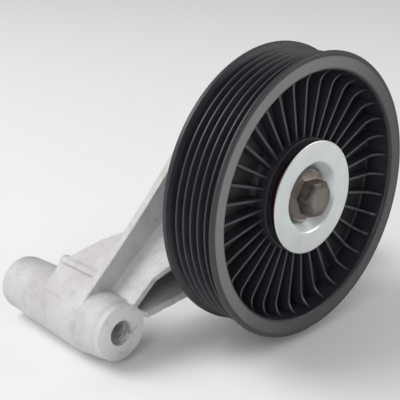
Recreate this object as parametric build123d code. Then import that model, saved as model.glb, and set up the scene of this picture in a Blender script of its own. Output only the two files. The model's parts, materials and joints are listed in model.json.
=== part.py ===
from build123d import *
import os
from math import atan2, cos, hypot, pi, radians, sin, tan

# Belt idler: a six-rib pulley on a sealed ball bearing, bolted to a cast aluminium bracket.
# Frame: +Z up. The pulley spins about Y and its front faces -Y.
# The origin is on the spin axis, in the middle of the belt track.

# ---------------------------------------------------------------- belt track and rim
rib_pitch = 3.56
groove_count = 6
groove_angle = 40.0
rib_tip_r = 54.6
groove_root_r = 51.35
groove_root_flat = 0.5
rib_tip_rounding = 0.3
front_lip_r = 56.1
front_face_y = -12.0
rear_flange_r = 56.1
rear_face_y = 13.0
rim_inner_r = 48.7
rim_bore_front_round = 1.6
rim_lip_front_round = 1.0
weld = 0.6

# ---------------------------------------------------------------- pulley web, hub and ribs
web_front_y = 0.0
web_rear_y = 4.0
web_fillet = 1.2
hub_fillet = 2.6
hub_r = 22.3
hub_root_r = 22.9
hub_front_y = -6.5
hub_rear_y = 7.5
hub_lip_r = 18.6
hub_edge_width = 1.1
hub_edge_step = 0.5
spoke_count = 35
spoke_phase = 1.4
spoke_thickness = 1.0
spoke_front_y = -5.0
spoke_sweep_r = 6.0
spoke_rear_y = 8.5
spoke_rear_lead = 2.5
gate_every = 5
gate_r = 25.6
gate_half_width = 0.8
gate_half_thickness = 0.6
gate_taper = 0.2
gate_height = 1.6

# ---------------------------------------------------------------- bearing, 17 x 40 x 12
bearing_y = 0.5
bearing_width = 12.0
bearing_od = 40.0
bearing_bore = 17.0
ball_count = 8
ball_d = 6.747
ball_pitch_r = 14.25
race_r = 3.5
race_gap = 0.03
outer_land_r = 16.55
inner_land_r = 12.2
ring_chamfer = 0.5
seal_seat_r = 17.5
seal_seat_chamfer = 0.4
seal_outside = 0.4
seal_rubber_skin = 0.4
seal_thickness = 0.9
seal_lip_gap = 0.05
seal_core_r_in = 13.1
seal_core_r_out = 16.9
cage_r_in = 13.3
cage_r_out = 15.2
cage_sheet = 0.65
cage_pocket_gap = 0.12
rivet_r = 0.5
rivet_head_r = 0.85
rivet_head_height = 0.35

# ---------------------------------------------------------------- bush, shield and bolt
bush_bore_r = 5.1
bush_od_r = 8.49
bush_flange_r = 11.4
bush_flange_thickness = 2.0
shield_sheet = 1.0
shield_floor_r = 10.4
shield_step_r = 14.0
shield_rim_r = 22.4
shield_rim_front_y = -11.1
shield_inner_round = 1.2
shield_outer_round = 1.6
bolt_r = 4.95
bolt_length = 50.0
bolt_point = 0.9
bolt_flange_r = 9.9
bolt_flange_thickness = 2.0
bolt_flange_crown = 0.6
bolt_flange_round = 0.4
bolt_hex_af = 13.0
bolt_head_height = 7.9
bolt_chamfer_inset = 0.3
bolt_chamfer_angle = 30.0
bolt_hex_angle = -24.6
bolt_hole_r = 5.0

# ---------------------------------------------------------------- bracket casting
boss_left = (-66.5, -46.6)
boss_right = (62.0, -38.0)
boss_hole_r = 5.1
boss_front_y = 25.0
boss_rear_y = 88.0
boss_land_r = 11.3
boss_land_depth = 2.4
boss_land_blend = 1.2
boss_front_r = 11.95
boss_parting_r = 13.2
boss_rear_r = 11.2
boss_rear_land_r = 10.7
boss_rear_land_depth = 1.0
plate_front_y = 38.0
plate_rear_y = 41.5
hub_plate_r = 25.4
edge_sag = 1.4
post_front_r = 12.0
post_rear_r = 17.0
wall_thickness = 2.8
wall_start = (6.35, 8.6)
wall_end = (4.4, 5.7)
wall_front_y = 24.3
wall_bend = 13.2
wall_rise = 0.47
wall_post_y = 10.8
lower_wall_thickness = 3.3
lower_wall_front_y = 22.2
lower_wall_rise = 4.0
flank_thickness = 5.0
flank_length = 12.4
flank_rear_y = 62.0
gusset_thickness = 4.0
gusset_inset = 1.6
gusset_root = 8.0
gusset_length = 36.6
gusset_peak = (17.2, 60.6)
gusset_middle = (28.0, 51.8)
pad_place = 14.2
pad_r = 2.7
pad_rear_y = 64.8
edge_clearance = 0.05

# ---------------------------------------------------------------- worked-out values
bearing_front_y = bearing_y - bearing_width / 2
bearing_rear_y = bearing_y + bearing_width / 2
bush_rear_y = bearing_rear_y + bush_flange_thickness
shield_floor_y = bearing_front_y - shield_sheet
post_front_y = bush_rear_y
bolt_seat_y = shield_floor_y


# ---------------------------------------------------------------- helpers
def outline(corners):
    """Closed face from (x, y, rounding) corners."""
    points = [(x, y) for x, y, _ in corners]
    radii = [rounding for _, _, rounding in corners]
    return make_face(FilletPolyline(*points, radius=radii, close=True))


def turned(corners):
    """Solid turned about Y from (radius, y, rounding) corners."""
    return revolve(outline(corners), Axis.Y)


def facing(y):
    """Plane across the spin axis at y: local x is X, local y is Z, and it faces -Y."""
    return Plane(origin=(0, y, 0), x_dir=(1, 0, 0), z_dir=(0, -1, 0))


def round_bar(r, y0, y1, x=0.0, z=0.0):
    """Plain round bar along Y from y0 to y1."""
    return Pos(x, y0, z) * extrude(Plane.XZ * Circle(r), amount=y0 - y1)


def around_axis(shape, count, phase=0.0):
    """Copies of a shape spread evenly about Y, clockwise as seen from the front."""
    step = 360 / count
    return [Rot(0, phase + step * i, 0) * shape for i in range(count)]


def one_solid(shape):
    """The largest solid of a boolean result."""
    return max(shape.solids(), key=lambda solid: solid.volume)


# ---------------------------------------------------------------- pulley
def track_corners():
    """Belt track from the front lip to the rear flange, as (radius, y, rounding) corners."""
    half_flat = groove_root_flat / 2
    slope = tan(radians(groove_angle / 2))
    first = -(groove_count - 1) / 2 * rib_pitch
    last = -first
    front_tip_y = first - half_flat - (front_lip_r - groove_root_r) * slope
    rear_tip_y = last + half_flat + (rear_flange_r - groove_root_r) * slope
    tip_run = (rib_tip_r - groove_root_r) * slope
    corners = [(front_lip_r, front_tip_y, 0.15)]
    for i in range(groove_count):
        middle = first + i * rib_pitch
        corners.append((groove_root_r, middle - half_flat, 0.1))
        corners.append((groove_root_r, middle + half_flat, 0.1))
        if i < groove_count - 1:
            corners.append((rib_tip_r, middle + half_flat + tip_run, rib_tip_rounding))
            corners.append((rib_tip_r, middle + rib_pitch - half_flat - tip_run, rib_tip_rounding))
    corners.append((rear_flange_r, rear_tip_y, 0.5))
    return corners


def make_pulley_body():
    corners = [(front_lip_r, front_face_y, rim_lip_front_round)]
    corners += track_corners()
    corners += [
        (rear_flange_r, rear_face_y, 0.9),
        (rim_inner_r, rear_face_y, 0.8),
        (rim_inner_r, web_rear_y, web_fillet),
        (hub_root_r, web_rear_y, 1.0),
        (hub_r, hub_rear_y, 0.3),
        (hub_lip_r, hub_rear_y, 0.2),
        (hub_lip_r, bearing_rear_y, 0),
        (bearing_od / 2, bearing_rear_y, 0),
        (bearing_od / 2, bearing_front_y, 0),
        (hub_lip_r, bearing_front_y, 0),
        (hub_lip_r, hub_front_y + hub_edge_step, 0.2),
        (hub_r - hub_edge_width, hub_front_y + hub_edge_step, 0.1),
        (hub_r - hub_edge_width, hub_front_y, 0.1),
        (hub_r, hub_front_y, 0.25),
        (hub_root_r, web_front_y, hub_fillet),
        (rim_inner_r, web_front_y, web_fillet),
        (rim_inner_r, front_face_y, rim_bore_front_round),
    ]
    body = turned(corners)
    return one_solid(body + front_spokes() + rear_spokes() + gate_marks())


def front_spokes():
    """Thin ribs in front of the web that sweep forward where they meet the rim."""
    inner = hub_r - weld
    outer = rim_inner_r + weld
    sweep_y = spoke_front_y - spoke_sweep_r
    start = rim_inner_r - spoke_sweep_r
    diagonal = spoke_sweep_r * cos(radians(45))
    edges = [
        Line((inner, web_front_y + weld), (inner, spoke_front_y)),
        Line((inner, spoke_front_y), (start, spoke_front_y)),
        ThreePointArc(
            (start, spoke_front_y),
            (start + diagonal, sweep_y + diagonal),
            (rim_inner_r, sweep_y),
        ),
        Line((rim_inner_r, sweep_y), (outer, sweep_y)),
        Line((outer, sweep_y), (outer, web_front_y + weld)),
        Line((outer, web_front_y + weld), (inner, web_front_y + weld)),
    ]
    rib = extrude(make_face(edges), spoke_thickness / 2, both=True)
    upright = Rot(0, -90, 0) * rib
    return around_axis(upright, spoke_count, spoke_phase)


def rear_spokes():
    """Plain ribs behind the web, in line with the front ones."""
    rib = outline([
        (hub_r - weld, web_rear_y - weld, 0),
        (rim_inner_r + weld, web_rear_y - weld, 0),
        (rim_inner_r + weld, spoke_rear_y, 0),
        (hub_r + spoke_rear_lead, spoke_rear_y, 0),
        (hub_r - weld, hub_rear_y - weld, 0),
    ])
    upright = Rot(0, -90, 0) * extrude(rib, spoke_thickness / 2, both=True)
    return around_axis(upright, spoke_count, spoke_phase)


def gate_marks():
    """Small moulding gate stubs in every fifth bay, on the fillet beside the hub."""
    tip_half = gate_half_width - gate_taper
    stub = outline([
        (gate_r - gate_half_width, web_front_y + weld, 0),
        (gate_r + gate_half_width, web_front_y + weld, 0),
        (gate_r + tip_half, web_front_y - gate_height, 0.1),
        (gate_r - tip_half, web_front_y - gate_height, 0.1),
    ])
    upright = Rot(0, -90, 0) * extrude(stub, gate_half_thickness, both=True)
    half_bay = 180 / spoke_count
    return around_axis(upright, spoke_count // gate_every, spoke_phase + half_bay)


# ---------------------------------------------------------------- bearing
def make_bearing_outer_ring():
    r = bearing_od / 2
    seal_depth = seal_outside + seal_thickness
    corners = [
        (r, bearing_front_y, ring_chamfer),
        (r, bearing_rear_y, ring_chamfer),
        (seal_seat_r + seal_seat_chamfer, bearing_rear_y, 0),
        (seal_seat_r, bearing_rear_y - seal_outside, 0),
        (seal_seat_r, bearing_rear_y - seal_depth, 0),
        (outer_land_r, bearing_rear_y - seal_depth, 0),
        (outer_land_r, bearing_front_y + seal_depth, 0),
        (seal_seat_r, bearing_front_y + seal_depth, 0),
        (seal_seat_r, bearing_front_y + seal_outside, 0),
        (seal_seat_r + seal_seat_chamfer, bearing_front_y, 0),
    ]
    centre_r = ball_pitch_r + ball_d / 2 + race_gap - race_r
    return one_solid(turned(corners) - raceway(centre_r))


def make_bearing_inner_ring():
    ring = turned([
        (bearing_bore / 2, bearing_front_y, ring_chamfer),
        (inner_land_r, bearing_front_y, 0.3),
        (inner_land_r, bearing_rear_y, 0.3),
        (bearing_bore / 2, bearing_rear_y, ring_chamfer),
    ])
    centre_r = ball_pitch_r - ball_d / 2 - race_gap + race_r
    return one_solid(ring - raceway(centre_r))


def raceway(centre_r):
    """Round groove that the balls run in."""
    return revolve(Pos(centre_r, bearing_y) * Circle(race_r), Axis.Y)


def make_ball(i):
    angle = radians(360 / ball_count * i)
    return Pos(ball_pitch_r * sin(angle), bearing_y, ball_pitch_r * cos(angle)) * Sphere(ball_d / 2)


def make_seal(face_y, inward):
    """Rubber seal: an outer skin with a bead at the outer ring and a lip at the inner ring."""
    lip_r = inner_land_r + seal_lip_gap
    y0 = face_y + inward * seal_outside
    y1 = y0 + inward * seal_rubber_skin
    y2 = y0 + inward * seal_thickness
    return turned([
        (lip_r, y0, 0),
        (seal_seat_r, y0, 0),
        (seal_seat_r, y2, 0),
        (seal_core_r_out, y2, 0),
        (seal_core_r_out, y1, 0),
        (seal_core_r_in, y1, 0),
        (seal_core_r_in, y2, 0),
        (lip_r, y2, 0),
    ])


def make_seal_core(face_y, inward):
    """Steel disc under the rubber skin of a seal."""
    y1 = face_y + inward * (seal_outside + seal_rubber_skin)
    y2 = face_y + inward * (seal_outside + seal_thickness)
    return turned([
        (seal_core_r_in, y1, 0),
        (seal_core_r_out, y1, 0),
        (seal_core_r_out, y2, 0),
        (seal_core_r_in, y2, 0),
    ])


def rivet_places():
    """Rivets sit halfway between the balls."""
    mid_r = (cage_r_in + cage_r_out) / 2
    step = 360 / ball_count
    angles = [radians(step * (i + 0.5)) for i in range(ball_count)]
    return [(mid_r * sin(angle), mid_r * cos(angle)) for angle in angles]


def make_cage_half(side):
    """Ribbon half cage: flats between the balls and round pockets over them."""
    pocket_r = ball_d / 2 + cage_pocket_gap
    edge_y = bearing_y + side * cage_sheet
    far_y = bearing_y + side * ball_d
    band = turned([
        (cage_r_in, bearing_y, 0),
        (cage_r_out, bearing_y, 0),
        (cage_r_out, far_y, 0),
        (cage_r_in, far_y, 0),
    ])
    flats = turned([
        (cage_r_in, bearing_y, 0),
        (cage_r_out, bearing_y, 0),
        (cage_r_out, edge_y, 0),
        (cage_r_in, edge_y, 0),
    ])
    centre = Pos(0, bearing_y, ball_pitch_r)
    domes = around_axis(centre * Sphere(pocket_r + cage_sheet), ball_count)
    hollows = around_axis(centre * Sphere(pocket_r), ball_count)
    holes = [round_bar(rivet_r, bearing_y - ball_d, bearing_y + ball_d, x, z) for x, z in rivet_places()]
    shells = [dome & band for dome in domes]
    return one_solid(flats + shells - hollows - holes)


def make_cage_rivets():
    """Rivets with a head on each side of the joined cage halves."""
    top = cage_sheet + rivet_head_height
    rivet = revolve(make_face(Polyline(
        (0, -top), (rivet_head_r, -top), (rivet_head_r, -cage_sheet), (rivet_r, -cage_sheet),
        (rivet_r, cage_sheet), (rivet_head_r, cage_sheet), (rivet_head_r, top), (0, top),
        close=True,
    )), Axis.Y)
    return Compound([Pos(x, bearing_y, z) * rivet for x, z in rivet_places()])


# ---------------------------------------------------------------- bush, shield and bolt
def make_spacer_bush():
    return turned([
        (bush_bore_r, bearing_front_y, 0.2),
        (bush_od_r, bearing_front_y, 0.2),
        (bush_od_r, bearing_rear_y, 0),
        (bush_flange_r, bearing_rear_y, 0.2),
        (bush_flange_r, bush_rear_y, 0.2),
        (bush_bore_r, bush_rear_y, 0.2),
    ])


def make_dust_shield():
    """Pressed washer: a sunk floor round the bolt, a conical step and a flat outer rim."""
    rise = shield_floor_y - shield_rim_front_y
    run = shield_step_r - shield_floor_r
    shift = shield_sheet * (hypot(run, rise) - run) / rise
    rear_rim_y = shield_rim_front_y + shield_sheet
    rear_floor_y = shield_floor_y + shield_sheet
    return turned([
        (bush_bore_r, shield_floor_y, 0),
        (shield_floor_r, shield_floor_y, shield_inner_round),
        (shield_step_r, shield_rim_front_y, shield_outer_round),
        (shield_rim_r, shield_rim_front_y, 0.6),
        (shield_rim_r, rear_rim_y, 0.5),
        (shield_step_r + shift, rear_rim_y, 0.4),
        (shield_floor_r + shift, rear_floor_y, 0.8),
        (bush_bore_r, rear_floor_y, 0),
    ])


def make_pulley_bolt():
    """Flanged hexagon bolt with a chamfered head."""
    flange_y = bolt_seat_y - bolt_flange_thickness
    crown_y = flange_y - bolt_flange_crown
    top_y = bolt_seat_y - bolt_head_height
    end_y = bolt_seat_y + bolt_length
    corner_r = bolt_hex_af / 2 / cos(radians(30))
    chamfer_r = bolt_hex_af / 2 - bolt_chamfer_inset
    chamfer_height = (corner_r - chamfer_r) * tan(radians(bolt_chamfer_angle))
    flange = turned([
        (0, bolt_seat_y, 0),
        (bolt_flange_r, bolt_seat_y, 0.2),
        (bolt_flange_r, flange_y, bolt_flange_round),
        (bolt_hex_af / 2, crown_y, 0),
        (0, crown_y, 0),
    ])
    envelope = turned([
        (0, flange_y, 0),
        (corner_r, flange_y, 0),
        (corner_r, top_y + chamfer_height, 0),
        (chamfer_r, top_y, 0),
        (0, top_y, 0),
    ])
    hexagon = facing(flange_y) * Rot(0, 0, 90 - bolt_hex_angle) * RegularPolygon(corner_r, 6)
    prism = extrude(hexagon, bolt_head_height - bolt_flange_thickness)
    shank = turned([
        (0, flange_y, 0),
        (bolt_r, flange_y, 0),
        (bolt_r, end_y - bolt_point, 0),
        (bolt_r - bolt_point, end_y, 0),
        (0, end_y, 0),
    ])
    return one_solid(flange + (prism & envelope) + shank)


# ---------------------------------------------------------------- bracket
def boss(x, z):
    """Tubular mounting boss with a machined land at each end and draft from the parting plane."""
    rear_cast_y = boss_rear_y - boss_rear_land_depth
    profile = turned([
        (0, boss_front_y, 0),
        (boss_land_r, boss_front_y, 0.3),
        (boss_land_r, boss_front_y + boss_land_depth, 0.5),
        (boss_front_r, boss_front_y + boss_land_depth + boss_land_blend, 1.0),
        (boss_parting_r, plate_rear_y, 0),
        (boss_rear_r, rear_cast_y, 0.4),
        (boss_rear_land_r, rear_cast_y, 0),
        (boss_rear_land_r, boss_rear_y, 0.2),
        (0, boss_rear_y, 0),
    ])
    return Pos(x, 0, z) * profile


def plate_edge(centre, side):
    """Points where the plate's upper edge leaves a boss and meets the round hub."""
    length = hypot(*centre)
    along = atan2(-centre[1], -centre[0])
    lean = along + side * (pi / 2 + atan2(hub_plate_r - boss_parting_r, length))
    nx = cos(lean)
    nz = sin(lean)
    start = (centre[0] + boss_parting_r * nx, centre[1] + boss_parting_r * nz)
    return start, (hub_plate_r * nx, hub_plate_r * nz)


def plate():
    """Three-cornered plate round the post and the two bosses, with slightly hollow upper edges."""
    left0, left1 = plate_edge(boss_left, 1)
    right0, right1 = plate_edge(boss_right, -1)
    edges = [
        SagittaArc(left0, left1, -edge_sag),
        Line(left1, right1),
        SagittaArc(right1, right0, -edge_sag),
        Line(right0, boss_right),
        Line(boss_right, lower_wall_end(boss_right)),
        Line(lower_wall_end(boss_right), lower_wall_end(boss_left)),
        Line(lower_wall_end(boss_left), boss_left),
        Line(boss_left, left0),
    ]
    sketch = make_face(edges) + Circle(hub_plate_r)
    for x, z in (boss_left, boss_right):
        sketch += Pos(x, z) * Circle(boss_parting_r)
    return extrude(facing(plate_rear_y) * sketch, plate_rear_y - plate_front_y)


def lower_wall_end(centre):
    """End of the lower wall's centre line, a little above a boss's axis."""
    return (centre[0], centre[1] + lower_wall_rise)


def wall(start, end, thickness, corners):
    """Wall across the plate from start towards end; corners are (distance, y, rounding)."""
    length = hypot(end[0] - start[0], end[1] - start[1])
    ux = (end[0] - start[0]) / length
    uz = (end[1] - start[1]) / length
    plane = Plane(origin=(start[0], 0, start[1]), x_dir=(ux, 0, uz), z_dir=(-uz, 0, ux))
    return extrude(plane * outline(corners), thickness / 2, both=True)


def arm_wall(centre, side):
    """Wall from a boss to the post. Its front edge is level at first, then climbs to the post."""
    start = (centre[0] + side * wall_start[0], centre[1] + wall_start[1])
    end = (-side * wall_end[0], wall_end[1])
    reach = hypot(end[0] - start[0], end[1] - start[1])
    climb = (wall_front_y - wall_post_y) / wall_rise
    return wall(start, end, wall_thickness, [
        (0, plate_rear_y, 0),
        (0, wall_front_y, 0),
        (wall_bend, wall_front_y, 4.0),
        (wall_bend + climb, wall_post_y, 6.0),
        (reach, wall_post_y, 0),
        (reach, plate_rear_y, 0),
    ])


def gusset(centre, side):
    """Bracing behind the plate: a flank beside the boss, a sloping wall and a round ejector pad."""
    start, end = plate_edge(centre, side)
    chord = hypot(end[0] - start[0], end[1] - start[1])
    along = atan2(end[1] - start[1], end[0] - start[0]) - side * 2 * atan2(2 * edge_sag, chord)

    def place(distance, inset):
        """Point at a distance along the plate's upper edge and inwards from it."""
        x = start[0] + distance * cos(along) + side * inset * sin(along)
        z = start[1] + distance * sin(along) - side * inset * cos(along)
        return x, z

    root_y = plate_rear_y - weld
    flank_inset = flank_thickness / 2 + edge_clearance
    flank = wall(place(0, flank_inset), place(flank_length, flank_inset), flank_thickness, [
        (0, root_y, 0),
        (0, flank_rear_y, 0),
        (flank_length, flank_rear_y, 0),
        (flank_length, root_y, 0),
    ])
    inset = gusset_inset + gusset_thickness / 2
    brace = wall(place(0, inset), place(gusset_length, inset), gusset_thickness, [
        (gusset_root, root_y, 0),
        (gusset_root, gusset_peak[1], 0),
        (*gusset_peak, 1.5),
        (*gusset_middle, 15.0),
        (gusset_length, plate_rear_y, 0),
        (gusset_length, root_y, 0),
    ])
    x, z = place(pad_place, inset)
    pad = Pos(x, 0, z) * turned([
        (0, root_y, 0),
        (pad_r, root_y, 0),
        (pad_r, pad_rear_y, 1.2),
        (0, pad_rear_y, 0),
    ])
    return flank + brace + pad


def make_bracket():
    body = plate() + turned([
        (0, post_front_y, 0),
        (post_front_r, post_front_y, 0.4),
        (post_rear_r, plate_rear_y, 0),
        (0, plate_rear_y, 0),
    ])
    for centre, side in ((boss_left, 1), (boss_right, -1)):
        body += [boss(*centre), arm_wall(centre, side), gusset(centre, side)]
    wall_length = hypot(boss_right[0] - boss_left[0], boss_right[1] - boss_left[1])
    body += wall(lower_wall_end(boss_left), lower_wall_end(boss_right), lower_wall_thickness, [
        (boss_hole_r, plate_rear_y, 0),
        (boss_hole_r, lower_wall_front_y, 0),
        (wall_length - boss_hole_r, lower_wall_front_y, 0),
        (wall_length - boss_hole_r, plate_rear_y, 0),
    ])
    for x, z in (boss_left, boss_right):
        body -= round_bar(boss_land_r, lower_wall_front_y - 1, boss_front_y, x, z)
        body -= round_bar(boss_hole_r, boss_front_y - 1, boss_rear_y + 1, x, z)
    body -= round_bar(bolt_hole_r, post_front_y - 1, plate_rear_y + 1)
    return one_solid(body)


parts = {
    "pulley_body": make_pulley_body(),
    "bearing_outer_ring": make_bearing_outer_ring(),
    "bearing_inner_ring": make_bearing_inner_ring(),
    "cage_front": make_cage_half(-1),
    "cage_rear": make_cage_half(1),
    "cage_rivets": make_cage_rivets(),
    "seal_front": make_seal(bearing_front_y, 1),
    "seal_rear": make_seal(bearing_rear_y, -1),
    "seal_core_front": make_seal_core(bearing_front_y, 1),
    "seal_core_rear": make_seal_core(bearing_rear_y, -1),
    "spacer_bush": make_spacer_bush(),
    "dust_shield": make_dust_shield(),
    "pulley_bolt": make_pulley_bolt(),
    "bracket": make_bracket(),
}
for i in range(ball_count):
    parts[f"ball_{i + 1}"] = make_ball(i)

os.makedirs("parts", exist_ok=True)
for name, shape in parts.items():
    shape.label = name
    export_step(shape, f"parts/{name}.step")
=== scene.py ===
import json
import math

import bmesh
import bpy
import numpy as np
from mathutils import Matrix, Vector


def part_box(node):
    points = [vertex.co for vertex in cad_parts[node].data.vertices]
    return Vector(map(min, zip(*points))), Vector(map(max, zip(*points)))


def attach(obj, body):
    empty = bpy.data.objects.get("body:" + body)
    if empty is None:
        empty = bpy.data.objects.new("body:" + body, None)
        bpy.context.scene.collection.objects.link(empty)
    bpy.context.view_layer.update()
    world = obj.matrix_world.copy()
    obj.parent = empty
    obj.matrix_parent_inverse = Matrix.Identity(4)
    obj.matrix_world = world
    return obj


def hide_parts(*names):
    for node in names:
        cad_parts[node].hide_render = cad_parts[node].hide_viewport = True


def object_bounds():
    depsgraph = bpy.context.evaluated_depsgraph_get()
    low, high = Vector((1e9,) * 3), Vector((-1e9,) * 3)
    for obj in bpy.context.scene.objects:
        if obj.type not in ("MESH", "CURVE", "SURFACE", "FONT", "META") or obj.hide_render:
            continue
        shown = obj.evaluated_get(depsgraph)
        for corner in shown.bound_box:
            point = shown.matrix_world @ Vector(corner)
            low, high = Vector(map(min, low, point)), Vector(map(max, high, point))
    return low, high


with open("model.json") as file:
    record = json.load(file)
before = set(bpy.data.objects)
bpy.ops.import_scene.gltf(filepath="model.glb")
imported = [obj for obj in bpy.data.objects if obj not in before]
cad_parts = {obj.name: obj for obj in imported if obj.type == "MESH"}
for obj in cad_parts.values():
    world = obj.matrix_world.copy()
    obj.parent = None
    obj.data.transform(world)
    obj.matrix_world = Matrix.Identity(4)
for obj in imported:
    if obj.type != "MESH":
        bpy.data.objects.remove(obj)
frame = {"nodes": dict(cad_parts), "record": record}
cad_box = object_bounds()

# Belt idler: black ribbed pulley, zinc dust shield, steel bolt and cast aluminium bracket.
# Row frame, metres: the pulley spins about Y and its front faces -Y; +Z is up.
MM = 0.001


def mount(name):
    """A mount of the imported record, by name."""
    return next(m for m in frame["record"]["mounts"] if m["name"] == name)


# ---------------------------------------------------------------- places taken from the frame
bolt_length = 50.0 * MM    # from under the flange to the point
bolt_holes = ("left_bolt_hole", "right_bolt_hole")
boss_centres = [(mount(name)["pos_m"][0], mount(name)["pos_m"][2]) for name in bolt_holes]
boss_hole_r = mount("left_bolt_hole")["dims"]["r_mm"] * MM
boss_length = mount("left_bolt_hole")["dims"]["length_mm"] * MM
boss_rear_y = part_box("bracket")[1].y
boss_front_y = boss_rear_y - boss_length
post_front_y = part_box("bracket")[0].y
bolt_end_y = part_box("pulley_bolt")[1].y
bolt_top_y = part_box("pulley_bolt")[0].y
pulley_front_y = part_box("pulley_body")[0].y
shield_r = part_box("dust_shield")[1].x
bolt_seat_y = bolt_end_y - bolt_length

# ---------------------------------------------------------------- sizes of the pulley's painted zones
recess_r = 48.0 * MM
recess_edge_r = 49.0 * MM
lip_inner_r = 49.3 * MM
lip_face_inner_r = 50.3 * MM
lip_face_outer_r = 53.85 * MM
lip_outer_r = 54.25 * MM
tip_from_r = 54.15 * MM
tip_r = 54.55 * MM
lip_face_depth = 0.9 * MM
lip_depth = 1.6 * MM
turning_feed = 0.35 * MM

# ---------------------------------------------------------------- sizes of the casting and the bolt
voxel = 0.5 * MM
fillet_passes = 5
land_r = 11.3 * MM
rear_land_r = 10.7 * MM
spotface_r = 11.55 * MM
post_r = 12.0 * MM
bolt_hole_r = 5.0 * MM
machining_stock = 1.2 * MM
parting_y = 41.5 * MM
parting_r = 13.2 * MM
flash_width = 1.0 * MM
hex_half = 6.5 * MM
hex_turn = math.radians(90 + 24.6)
head_chamfer_r = 5.95 * MM
head_chamfer_slope = math.tan(math.radians(30.0))
head_dish_r = 4.6 * MM
head_dish_depth = 0.35 * MM
head_dish_rings = 6
head_chamfer_rings = 10
head_edge_round = 0.06 * MM
head_edge_width = 0.25 * MM
crown_height = 2.75 * MM
crown_foot_spread = 1.035
crown_foot_drop = 0.18 * MM
flange_r = 9.9 * MM
flange_edge = 1.5 * MM
flange_round = 0.25 * MM
bolt_sides = 180
thread_rings_per_pitch = 10
point_length = 1.0 * MM
thread_pitch = 1.5 * MM
thread_depth = 0.75 * MM
thread_crest_r = 4.93 * MM
thread_length = 26.0 * MM


# ---------------------------------------------------------------- camera, floor and light
def make_camera():
    """Camera at the photograph's viewing angle: 45 degrees to the left of the front, 21 up."""
    data = bpy.data.cameras.new("camera")
    data.lens = 86.3
    data.sensor_width = 36.0
    data.clip_start = 0.01
    data.clip_end = 10.0
    camera = bpy.data.objects.new("camera", data)
    bpy.context.scene.collection.objects.link(camera)
    camera.location = (-0.2690, -0.2222, 0.1319)
    azimuth = math.radians(44.652)
    down = math.radians(21.381)
    level = math.cos(down)
    forward = Vector((math.sin(azimuth) * level, math.cos(azimuth) * level, -math.sin(down)))
    camera.rotation_mode = "QUATERNION"
    camera.rotation_quaternion = forward.to_track_quat("-Z", "Y")
    bpy.context.scene.camera = camera


def make_area(name, place, size, watts):
    """Soft rectangular light that faces the object."""
    data = bpy.data.lights.new(name, "AREA")
    data.shape = "RECTANGLE"
    data.size, data.size_y = size
    data.energy = watts
    light = bpy.data.objects.new(name, data)
    bpy.context.scene.collection.objects.link(light)
    light.location = place
    light.rotation_mode = "QUATERNION"
    light.rotation_quaternion = (-Vector(place)).to_track_quat("-Z", "Y")


def make_world():
    """Even white surroundings, shown without a film curve."""
    world = bpy.data.worlds.new("world")
    bpy.context.scene.world = world
    world.use_nodes = True
    background = world.node_tree.nodes["Background"]
    background.inputs["Color"].default_value = (1, 1, 1, 1)
    background.inputs["Strength"].default_value = 0.38
    bpy.context.scene.view_settings.view_transform = "Standard"


def make_floor():
    """Plain pale floor just under the lowest point of the part."""
    half = 3.0
    z = cad_box[0].z - 0.2 * MM
    mesh = bpy.data.meshes.new("floor")
    corners = [(-half, -half, z), (half, -half, z), (half, half, z), (-half, half, z)]
    mesh.from_pydata(corners, [], [(0, 1, 2, 3)])
    floor = bpy.data.objects.new("floor", mesh)
    bpy.context.scene.collection.objects.link(floor)
    material = bpy.data.materials.new("floor_paint")
    material.use_nodes = True
    shader = material.node_tree.nodes["Principled BSDF"]
    shader.inputs["Base Color"].default_value = (0.92, 0.92, 0.92, 1)
    shader.inputs["Roughness"].default_value = 0.9
    mesh.materials.append(material)


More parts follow.
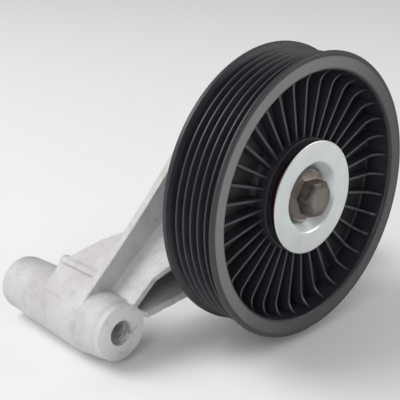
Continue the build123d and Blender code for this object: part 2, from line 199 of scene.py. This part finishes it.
# ---------------------------------------------------------------- node helper
class Graph:
    """Short calls that build a material's node tree."""

    def __init__(self, name, colour, metallic, roughness):
        self.material = bpy.data.materials.new(name)
        self.material.use_nodes = True
        self.tree = self.material.node_tree
        self.shader = self.tree.nodes["Principled BSDF"]
        self.shader.inputs["Base Color"].default_value = (*colour, 1)
        self.shader.inputs["Metallic"].default_value = metallic
        self.shader.inputs["Roughness"].default_value = roughness
        coordinates = self.tree.nodes.new("ShaderNodeTexCoord")
        self.place = coordinates.outputs["Object"]
        self.normal = coordinates.outputs["Normal"]

    def put(self, socket, value):
        if isinstance(value, bpy.types.NodeSocket):
            self.tree.links.new(value, socket)
        elif isinstance(value, tuple) and len(value) == 3 and len(socket.default_value) == 4:
            socket.default_value = (*value, 1)
        else:
            socket.default_value = value

    def math(self, kind, a, b=0.0, c=0.0):
        node = self.tree.nodes.new("ShaderNodeMath")
        node.operation = kind
        for socket, value in zip(node.inputs, (a, b, c)):
            self.put(socket, value)
        return node.outputs[0]

    def axes(self, vector):
        node = self.tree.nodes.new("ShaderNodeSeparateXYZ")
        self.put(node.inputs[0], vector)
        return node.outputs

    def radius(self, centre=(0.0, 0.0)):
        """Distance from an axis along Y through (x, z), in metres."""
        x, _, z = self.axes(self.place)
        dx = self.math("SUBTRACT", x, centre[0])
        dz = self.math("SUBTRACT", z, centre[1])
        squares = self.math("ADD", self.math("POWER", dx, 2.0), self.math("POWER", dz, 2.0))
        return self.math("SQRT", squares)

    def ramp(self, value, low, high):
        """0 below low and 1 above high, smooth between; low may be the larger."""
        node = self.tree.nodes.new("ShaderNodeMapRange")
        node.interpolation_type = "SMOOTHSTEP"
        backwards = low > high
        ends = (high, low, 1.0, 0.0) if backwards else (low, high, 0.0, 1.0)
        self.put(node.inputs["Value"], value)
        for name, end in zip(("From Min", "From Max", "To Min", "To Max"), ends):
            node.inputs[name].default_value = end
        return node.outputs[0]

    def noise(self, scale, detail=4.0, stretch=(1.0, 1.0, 1.0), roughness=0.55):
        mapping = self.tree.nodes.new("ShaderNodeMapping")
        mapping.inputs["Scale"].default_value = stretch
        self.put(mapping.inputs["Vector"], self.place)
        node = self.tree.nodes.new("ShaderNodeTexNoise")
        node.inputs["Scale"].default_value = scale
        node.inputs["Detail"].default_value = detail
        node.inputs["Roughness"].default_value = roughness
        self.tree.links.new(mapping.outputs[0], node.inputs["Vector"])
        return node.outputs[0]

    def mix(self, share, a, b):
        """Colour a where share is 0 and b where it is 1."""
        node = self.tree.nodes.new("ShaderNodeMix")
        node.data_type = "RGBA"
        self.put(node.inputs["Factor"], share)
        self.put(node.inputs[6], a)
        self.put(node.inputs[7], b)
        return node.outputs[2]

    def colour(self, value):
        self.put(self.shader.inputs["Base Color"], value)

    def roughness(self, value):
        self.put(self.shader.inputs["Roughness"], value)

    def spread(self, value, low, high):
        """A 0 to 1 value spread from low to high."""
        return self.math("MULTIPLY_ADD", value, high - low, low)

    def bump(self, height, distance, strength=1.0):
        node = self.tree.nodes.new("ShaderNodeBump")
        node.inputs["Strength"].default_value = strength
        node.inputs["Distance"].default_value = distance
        self.put(node.inputs["Height"], height)
        self.put(self.shader.inputs["Normal"], node.outputs[0])


# ---------------------------------------------------------------- materials
def cast_aluminium():
    """Sand-cast skin: light grey mottled with warm patches and darker clouds, and pebbled."""
    g = Graph("cast_aluminium_skin", (0.56, 0.55, 0.545), 0.15, 0.6)
    patches = g.noise(48.0, 6.0, roughness=0.62)
    clouds = g.noise(150.0, 5.0, roughness=0.65)
    grain = g.noise(850.0, 3.0)
    base = g.mix(g.ramp(patches, 0.40, 0.62), (0.60, 0.605, 0.595), (0.545, 0.515, 0.515))
    base = g.mix(g.math("MULTIPLY", g.ramp(clouds, 0.50, 0.68), 0.55), base, (0.47, 0.465, 0.46))
    base = g.mix(g.math("MULTIPLY", g.ramp(grain, 0.60, 0.76), 0.6), base, (0.36, 0.35, 0.35))
    g.colour(base)
    g.roughness(g.spread(clouds, 0.50, 0.78))
    pebbles = g.math("MULTIPLY", g.noise(380.0, 5.0), 0.75)
    pebbles = g.math("ADD", pebbles, g.math("MULTIPLY", grain, 0.25))
    g.bump(g.math("ADD", pebbles, g.math("MULTIPLY", clouds, 0.8)), 0.22 * MM, 0.9)
    return g.material


def machined_aluminium():
    """Turned aluminium face with fine tool rings about each boss."""
    g = Graph("machined_aluminium_face", (0.74, 0.74, 0.745), 0.9, 0.34)
    near = g.radius((0.0, 0.0))
    for centre in boss_centres:
        near = g.math("MINIMUM", near, g.radius(centre))
    rings = g.math("SINE", g.math("MULTIPLY", near, 2 * math.pi / (0.42 * MM)))
    scuffs = g.noise(260.0, 5.0)
    g.colour(g.mix(g.ramp(scuffs, 0.5, 0.72), (0.78, 0.78, 0.785), (0.60, 0.60, 0.61)))
    g.roughness(g.spread(scuffs, 0.26, 0.46))
    g.bump(g.math("ADD", g.math("MULTIPLY", rings, 0.5), scuffs), 0.025 * MM, 0.7)
    return g.material


def drilled_aluminium():
    """Wall of a drilled hole: a pale spiral of tool marks."""
    g = Graph("drilled_aluminium_wall", (0.80, 0.79, 0.78), 0.25, 0.5)
    _, y, _ = g.axes(g.place)
    feed = g.math("SINE", g.math("MULTIPLY", y, 2 * math.pi / (1.1 * MM)))
    chatter = g.noise(380.0, 5.0, (1.0, 2.5, 1.0))
    g.colour(g.mix(g.ramp(chatter, 0.4, 0.65), (0.88, 0.86, 0.85), (0.45, 0.44, 0.43)))
    g.roughness(g.spread(chatter, 0.35, 0.6))
    g.bump(g.math("ADD", g.math("MULTIPLY", feed, 0.5), chatter), 0.06 * MM, 0.8)
    return g.material


def black_nylon():
    """Moulded black glass-filled nylon with a paler turned front ring.

    The ring is painted paler on its -X, +Z side. This stands in for a highlight and isn't wear. It lies
    in the pulley's own frame, so it turns with the pulley.
    """
    g = Graph("black_glass_nylon", (0.020, 0.018, 0.025), 0.0, 0.42)
    x, y, z = g.axes(g.place)
    r = g.radius()
    flow = g.noise(60.0, 5.0)
    speck = g.noise(1600.0, 2.0)
    base = g.mix(g.ramp(flow, 0.35, 0.7), (0.017, 0.015, 0.022), (0.027, 0.025, 0.033))
    base = g.mix(g.math("MULTIPLY", g.ramp(speck, 0.66, 0.8), 0.4), base, (0.05, 0.05, 0.055))
    inside = g.ramp(r, recess_edge_r, recess_r)
    base = g.mix(g.math("MULTIPLY", inside, 0.5), base, (0.045, 0.042, 0.054))
    # Painted light: faces inside the recess that face the front (-Y) are painted paler than the rib sides
    # beside them.
    facing = g.math("MULTIPLY", g.axes(g.normal)[1], -1.0)
    front_face_highlight = g.math("MULTIPLY", g.ramp(facing, 0.75, 0.98), inside)
    base = g.mix(g.math("MULTIPLY", front_face_highlight, 0.45), base, (0.062, 0.062, 0.072))
    behind_lip = g.ramp(y, pulley_front_y + 1.5 * MM, pulley_front_y + 2 * MM)
    tips = g.math("MULTIPLY", g.ramp(r, tip_from_r, tip_r), behind_lip)
    base = g.mix(g.math("MULTIPLY", tips, 0.2), base, (0.055, 0.054, 0.064))
    at_front = g.ramp(y, pulley_front_y + lip_depth, pulley_front_y + lip_face_depth)
    lip = g.math("MULTIPLY", g.ramp(r, lip_inner_r, lip_face_inner_r), at_front)
    base = g.mix(lip, base, (0.036, 0.036, 0.041))
    ring = g.math("MULTIPLY", lip, g.ramp(r, lip_outer_r, lip_face_outer_r))
    pale_side = g.ramp(g.math("SUBTRACT", g.math("MULTIPLY", z, 0.75), x), -0.040, 0.058)
    blotches = g.math("MULTIPLY", g.noise(35.0, 4.0), 0.25)
    paleness = g.math("ADD", g.math("MULTIPLY", pale_side, 0.75), blotches)
    base = g.mix(ring, base, g.mix(paleness, (0.036, 0.037, 0.037), (0.215, 0.218, 0.216)))
    g.colour(base)
    g.roughness(g.spread(flow, 0.34, 0.48))
    lines = g.math("MULTIPLY", g.math("SINE", g.math("MULTIPLY", r, 2 * math.pi / turning_feed)), ring)
    g.bump(g.math("ADD", g.noise(700.0, 4.0), g.math("MULTIPLY", lines, 0.25)), 0.03 * MM, 0.6)
    return g.material


def zinc_plate():
    """Clear zinc plate on pressed steel: cool satin with faint spun rings, and a rim edge painted dark."""
    g = Graph("clear_zinc_plate", (0.80, 0.83, 0.82), 1.0, 0.36)
    _, y, _ = g.axes(g.place)
    r = g.radius()
    cloud = g.noise(120.0, 5.0)
    plated = g.mix(g.ramp(cloud, 0.3, 0.75), (0.765, 0.80, 0.79), (0.69, 0.725, 0.735))
    at_edge = g.ramp(r, shield_r - 0.25 * MM, shield_r - 0.1 * MM)
    dark_edge = g.math("MULTIPLY", at_edge, g.ramp(y, 0.0, -5.0 * MM))
    g.colour(g.mix(dark_edge, plated, (0.10, 0.085, 0.08)))
    g.roughness(g.spread(g.noise(75.0, 4.0), 0.28, 0.44))
    rings = g.math("SINE", g.math("MULTIPLY", r, 2 * math.pi / (0.9 * MM)))
    g.bump(g.math("ADD", g.noise(500.0, 4.0), g.math("MULTIPLY", rings, 0.15)), 0.02 * MM, 0.6)
    return g.material


def bolt_steel():
    """Phosphated bolt: brown-grey, paler on top of the head."""
    g = Graph("phosphated_bolt_steel", (0.20, 0.175, 0.155), 0.75, 0.42)
    _, y, _ = g.axes(g.place)
    r = g.radius()
    stain = g.noise(330.0, 6.0)
    base = g.mix(g.ramp(stain, 0.38, 0.66), (0.155, 0.125, 0.110), (0.075, 0.062, 0.056))
    flange = g.ramp(y, bolt_top_y + 5.0 * MM, bolt_top_y + 5.6 * MM)
    base = g.mix(g.math("MULTIPLY", flange, 0.6), base, (0.27, 0.225, 0.20))
    # The top of the head is painted paler.
    on_top = g.ramp(y, bolt_top_y + 0.8 * MM, bolt_top_y + 0.3 * MM)
    head_top_paler = g.math("MULTIPLY", on_top, g.ramp(r, 6.4 * MM, 3.0 * MM))
    base = g.mix(g.math("MULTIPLY", head_top_paler, 0.8), base, (0.23, 0.23, 0.205))
    g.colour(base)
    g.roughness(g.spread(g.noise(500.0, 4.0), 0.30, 0.52))
    g.bump(g.noise(1100.0, 4.0), 0.03 * MM, 0.7)
    return g.material


def seal_rubber():
    """Dark red moulded nitrile rubber."""
    g = Graph("red_nitrile_rubber", (0.075, 0.010, 0.014), 0.0, 0.5)
    g.colour(g.mix(g.noise(300.0, 4.0), (0.055, 0.006, 0.010), (0.11, 0.016, 0.020)))
    g.roughness(g.spread(g.noise(800.0, 3.0), 0.42, 0.6))
    g.bump(g.noise(1200.0, 3.0), 0.02 * MM, 0.6)
    return g.material


def ground_steel():
    """Ground and polished bearing steel with fine lines round the axis."""
    g = Graph("ground_bearing_steel", (0.62, 0.62, 0.63), 1.0, 0.16)
    lines = g.noise(900.0, 3.0, (0.2, 3.0, 0.2))
    g.colour(g.mix(g.noise(90.0, 4.0), (0.58, 0.58, 0.59), (0.68, 0.68, 0.69)))
    g.roughness(g.spread(lines, 0.10, 0.24))
    g.bump(lines, 0.01 * MM, 0.4)
    return g.material


def pressed_steel():
    """Cold-rolled pressed sheet steel."""
    g = Graph("pressed_sheet_steel", (0.50, 0.50, 0.50), 1.0, 0.35)
    g.colour(g.mix(g.noise(200.0, 4.0), (0.44, 0.44, 0.44), (0.56, 0.55, 0.54)))
    g.roughness(g.spread(g.noise(400.0, 4.0), 0.28, 0.44))
    g.bump(g.noise(1000.0, 3.0), 0.01 * MM, 0.5)
    return g.material


# ---------------------------------------------------------------- mesh helpers
def new_piece(name, mesh, body, node):
    """A piece that stands for a CAD node and moves with its body."""
    piece = bpy.data.objects.new(name, mesh)
    bpy.context.scene.collection.objects.link(piece)
    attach(piece, body)
    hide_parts(node)
    return piece


def lathe(corners, sides, centre=(0.0, 0.0)):
    """bmesh of a closed solid turned about Y from (radius, y) corners that start and end at radius 0."""
    bm = bmesh.new()
    rings = []
    for r, y in corners[1:-1]:
        ring = []
        for i in range(sides):
            t = 2 * math.pi * i / sides
            ring.append(bm.verts.new((centre[0] + r * math.cos(t), y, centre[1] + r * math.sin(t))))
        rings.append(ring)
    ends = [bm.verts.new((centre[0], corners[i][1], centre[1])) for i in (0, -1)]
    for a, b in zip(rings, rings[1:]):
        for i in range(sides):
            j = (i + 1) % sides
            bm.faces.new((a[i], a[j], b[j], b[i]))
    for ring, end in zip((rings[0], rings[-1]), ends):
        for i in range(sides):
            bm.faces.new((ring[i], ring[(i + 1) % sides], end))
    bmesh.ops.recalc_face_normals(bm, faces=bm.faces)
    return bm


def bar(r, y0, y1, centre, sides=128):
    """Plain turned bar from y0 to y1."""
    return lathe([(0, y0), (r, y0), (r, y1), (0, y1)], sides, centre)


def as_object(name, bm):
    mesh = bpy.data.meshes.new(name)
    bm.to_mesh(mesh)
    bm.free()
    thing = bpy.data.objects.new(name, mesh)
    bpy.context.scene.collection.objects.link(thing)
    return thing


def applied(thing):
    """The object's mesh with its modifiers applied; the object itself goes."""
    bpy.context.view_layer.update()
    evaluated = thing.evaluated_get(bpy.context.evaluated_depsgraph_get())
    mesh = bpy.data.meshes.new_from_object(evaluated)
    bpy.data.objects.remove(thing)
    return mesh


# ---------------------------------------------------------------- bracket
def casting_blank():
    """The bracket as it leaves the mould: bosses solid, with stock on the faces to be machined."""
    bm = bmesh.new()
    bm.from_mesh(frame["nodes"]["bracket"].data)
    bmesh.ops.remove_doubles(bm, verts=bm.verts, dist=0.002 * MM)
    solids = [bar(post_r, post_front_y - machining_stock, post_front_y + 2 * MM, (0, 0))]
    solids.append(bar(bolt_hole_r + 0.4 * MM, post_front_y, parting_y - 0.05 * MM, (0, 0)))
    for centre in boss_centres:
        solids.append(bar(boss_hole_r + 0.4 * MM, boss_front_y + 0.1 * MM, boss_rear_y - 0.1 * MM, centre))
        solids.append(bar(land_r, boss_front_y - machining_stock, boss_front_y + 2 * MM, centre))
        solids.append(bar(rear_land_r, boss_rear_y - 2 * MM, boss_rear_y + machining_stock, centre))
        half = flash_width / 2
        edge = parting_r
        ring = [(0, parting_y - half), (parting_r - MM, parting_y - half), (edge, parting_y - half / 4)]
        ring += [(edge, parting_y + half / 4), (parting_r - MM, parting_y + half), (0, parting_y + half)]
        solids.append(lathe(ring, 128, centre))
    for solid in solids:
        mesh = bpy.data.meshes.new("stock")
        solid.to_mesh(mesh)
        solid.free()
        bm.from_mesh(mesh)
        bpy.data.meshes.remove(mesh)
    blank = as_object("casting_blank", bm)
    remesh = blank.modifiers.new("remesh", "REMESH")
    remesh.mode = "VOXEL"
    remesh.voxel_size = voxel
    smooth = blank.modifiers.new("fillets", "SMOOTH")
    smooth.factor = 0.5
    smooth.iterations = fillet_passes
    return applied(blank)


def machine(mesh):
    """Cuts the holes and faces the lands of the casting, which leaves them crisp."""
    part = bpy.data.objects.new("machining", mesh)
    bpy.context.scene.collection.objects.link(part)
    cuts = [bar(post_r + 2 * MM, post_front_y - 4 * MM, post_front_y, (0, 0), 160)]
    cuts.append(bar(bolt_hole_r, post_front_y - 5 * MM, parting_y + 5 * MM, (0, 0)))
    for centre in boss_centres:
        cuts.append(bar(spotface_r, boss_front_y - 6 * MM, boss_front_y, centre, 160))
        cuts.append(bar(rear_land_r + 2 * MM, boss_rear_y, boss_rear_y + 6 * MM, centre, 160))
        cuts.append(bar(boss_hole_r, boss_front_y - 8 * MM, boss_rear_y + 8 * MM, centre))
    tools = []
    for i, cut in enumerate(cuts):
        tool = as_object(f"cutter_{i}", cut)
        modifier = part.modifiers.new(f"cut_{i}", "BOOLEAN")
        modifier.operation = "DIFFERENCE"
        modifier.solver = "MANIFOLD"
        modifier.object = tool
        tools.append(tool)
    done = applied(part)
    for tool in tools:
        bpy.data.objects.remove(tool)
    return done


def mark_machined(mesh):
    """Second material on the faced lands and third in the drilled holes, found by where they lie."""
    count = len(mesh.polygons)
    centres = np.empty(count * 3, np.float32)
    normals = np.empty(count * 3, np.float32)
    mesh.polygons.foreach_get("center", centres)
    mesh.polygons.foreach_get("normal", normals)
    centres = centres.reshape(-1, 3)
    normals = normals.reshape(-1, 3)
    flat = np.abs(normals[:, 1]) > 0.999
    index = np.zeros(count, np.int32)
    for y in (boss_front_y, boss_rear_y, post_front_y):
        index[flat & (np.abs(centres[:, 1] - y) < 0.01 * MM)] = 1
    holes = [(centre, boss_hole_r) for centre in boss_centres] + [((0, 0), bolt_hole_r)]
    for (x, z), r in holes:
        reach = np.hypot(centres[:, 0] - x, centres[:, 2] - z)
        index[(np.abs(reach - r) < 0.05 * MM) & (np.abs(normals[:, 1]) < 0.1)] = 2
    mesh.polygons.foreach_set("material_index", index)


def make_bracket(*materials):
    mesh = machine(casting_blank())
    mesh.name = "bracket_casting"
    mesh.materials.clear()
    for material in materials:
        mesh.materials.append(material)
    mark_machined(mesh)
    mesh.shade_smooth()
    mesh.set_sharp_from_angle(angle=math.radians(35))
    new_piece("bracket_casting", mesh, "bracket", "bracket")


# ---------------------------------------------------------------- bolt
def hex_radius(turn):
    """Distance from the axis to the hexagon's side at an angle about the axis."""
    sixth = math.pi / 3
    off = (turn - hex_turn) % sixth - sixth / 2
    return hex_half / math.cos(off)


def circle(r, y, turns):
    """Points of a circle about the spin axis."""
    return [(r * math.cos(t), y, r * math.sin(t)) for t in turns]


def head_ring(reach, y, turns):
    """Points at the hexagon, but no further out than reach, at one height of the head."""
    ring = []
    for t in turns:
        r = min(hex_radius(t), reach)
        ring.append((r * math.cos(t), y, r * math.sin(t)))
    return ring


def head_rings(turns):
    """Rings of the head from the middle of its dished top out and back to the flange's underside."""
    rings = []
    for step in range(1, head_dish_rings + 1):
        share = step / head_dish_rings
        rings.append(circle(head_dish_r * share, bolt_top_y + head_dish_depth * (1 - share ** 4), turns))
    edge_y = bolt_top_y + head_edge_round
    rings.append(circle(head_chamfer_r - head_edge_width, bolt_top_y, turns))
    rings.append(circle(head_chamfer_r, edge_y, turns))
    corner_reach = hex_half / math.cos(math.pi / 6) - head_chamfer_r
    for step in range(1, head_chamfer_rings + 1):
        out = corner_reach * step / head_chamfer_rings
        rings.append(head_ring(head_chamfer_r + out, edge_y + out * head_chamfer_slope, turns))
    crown = head_ring(2 * hex_half, bolt_seat_y - crown_height, turns)
    rings.append(crown)
    spread = crown_foot_spread
    rings.append([(x * spread, y + crown_foot_drop, z * spread) for x, y, z in crown])
    brim_y = bolt_seat_y - flange_edge
    rings.append(circle(flange_r - 1.2 * MM, brim_y - 0.42 * MM, turns))
    rings.append(circle(flange_r - 0.35 * MM, brim_y - 0.2 * MM, turns))
    rings.append(circle(flange_r, brim_y + flange_round, turns))
    rings.append(circle(flange_r, bolt_seat_y - flange_round, turns))
    rings.append(circle(flange_r - 0.2 * MM, bolt_seat_y, turns))
    rings.append(circle(thread_crest_r, bolt_seat_y, turns))
    return rings


def shank_rings(turns):
    """Rings of the shank: plain under the head, then a rolled thread down to the point."""
    thread_start = bolt_end_y - thread_length
    rings = [circle(thread_crest_r, thread_start - thread_pitch, turns)]
    count = int(thread_length / thread_pitch * thread_rings_per_pitch)
    for step in range(count + 1):
        y = thread_start + thread_length * step / count
        fade_in = (y - thread_start) / (1.5 * thread_pitch)
        fade_out = (bolt_end_y - y) / thread_pitch + 0.2
        fade = min(1.0, fade_in, fade_out)
        point = min(0.0, bolt_end_y - point_length - y)
        ring = []
        for t in turns:
            phase = (y / thread_pitch - t / (2 * math.pi)) % 1.0
            groove = 1 - abs(2 * phase - 1)
            cut = thread_depth * fade * max(0.0, groove * 1.15 - 0.15)
            r = thread_crest_r - cut + point * 0.9
            ring.append((r * math.cos(t), y, r * math.sin(t)))
        rings.append(ring)
    return rings


def make_bolt(material):
    """Flanged hexagon bolt with chamfered corners, a dished top and a rolled thread."""
    sides = bolt_sides
    turns = [2 * math.pi * i / sides + hex_turn for i in range(sides)]
    bm = bmesh.new()
    rings = []
    for ring in head_rings(turns) + shank_rings(turns):
        rings.append([bm.verts.new(point) for point in ring])
    for a, b in zip(rings, rings[1:]):
        for i in range(sides):
            j = (i + 1) % sides
            bm.faces.new((a[i], a[j], b[j], b[i]))
    ends = ((rings[0], bolt_top_y + head_dish_depth), (rings[-1], bolt_end_y))
    for ring, y in ends:
        middle = bm.verts.new((0, y, 0))
        for i in range(sides):
            bm.faces.new((ring[i], ring[(i + 1) % sides], middle))
    bmesh.ops.recalc_face_normals(bm, faces=bm.faces)
    mesh = bpy.data.meshes.new("flange_bolt")
    bm.to_mesh(mesh)
    bm.free()
    mesh.materials.append(material)
    mesh.shade_smooth()
    mesh.set_sharp_from_angle(angle=math.radians(24))
    new_piece("flange_bolt", mesh, "bracket", "pulley_bolt")


# ---------------------------------------------------------------- materials on the CAD nodes
def paint(material, *nodes):
    for node in nodes:
        thing = frame["nodes"][node]
        thing.data.materials.clear()
        thing.data.materials.append(material)


def paint_nodes():
    paint(black_nylon(), "pulley_body")
    paint(zinc_plate(), "dust_shield", "spacer_bush")
    paint(seal_rubber(), "seal_front", "seal_rear")
    balls = [node for node in frame["nodes"] if node.startswith("ball_")]
    paint(ground_steel(), "bearing_outer_ring", "bearing_inner_ring", *balls)
    paint(pressed_steel(), "cage_front", "cage_rear", "cage_rivets", "seal_core_front", "seal_core_rear")


make_camera()
make_world()
make_floor()
make_area("key", (-0.62, 0.66, 0.95), (0.8, 0.8), 10.5)
make_area("fill", (0.85, -0.75, 0.55), (0.7, 0.7), 3.5)
make_area("near", (-0.66, -0.22, 0.30), (0.35, 0.35), 1.3)
paint_nodes()
make_bracket(cast_aluminium(), machined_aluminium(), drilled_aluminium())
make_bolt(bolt_steel())

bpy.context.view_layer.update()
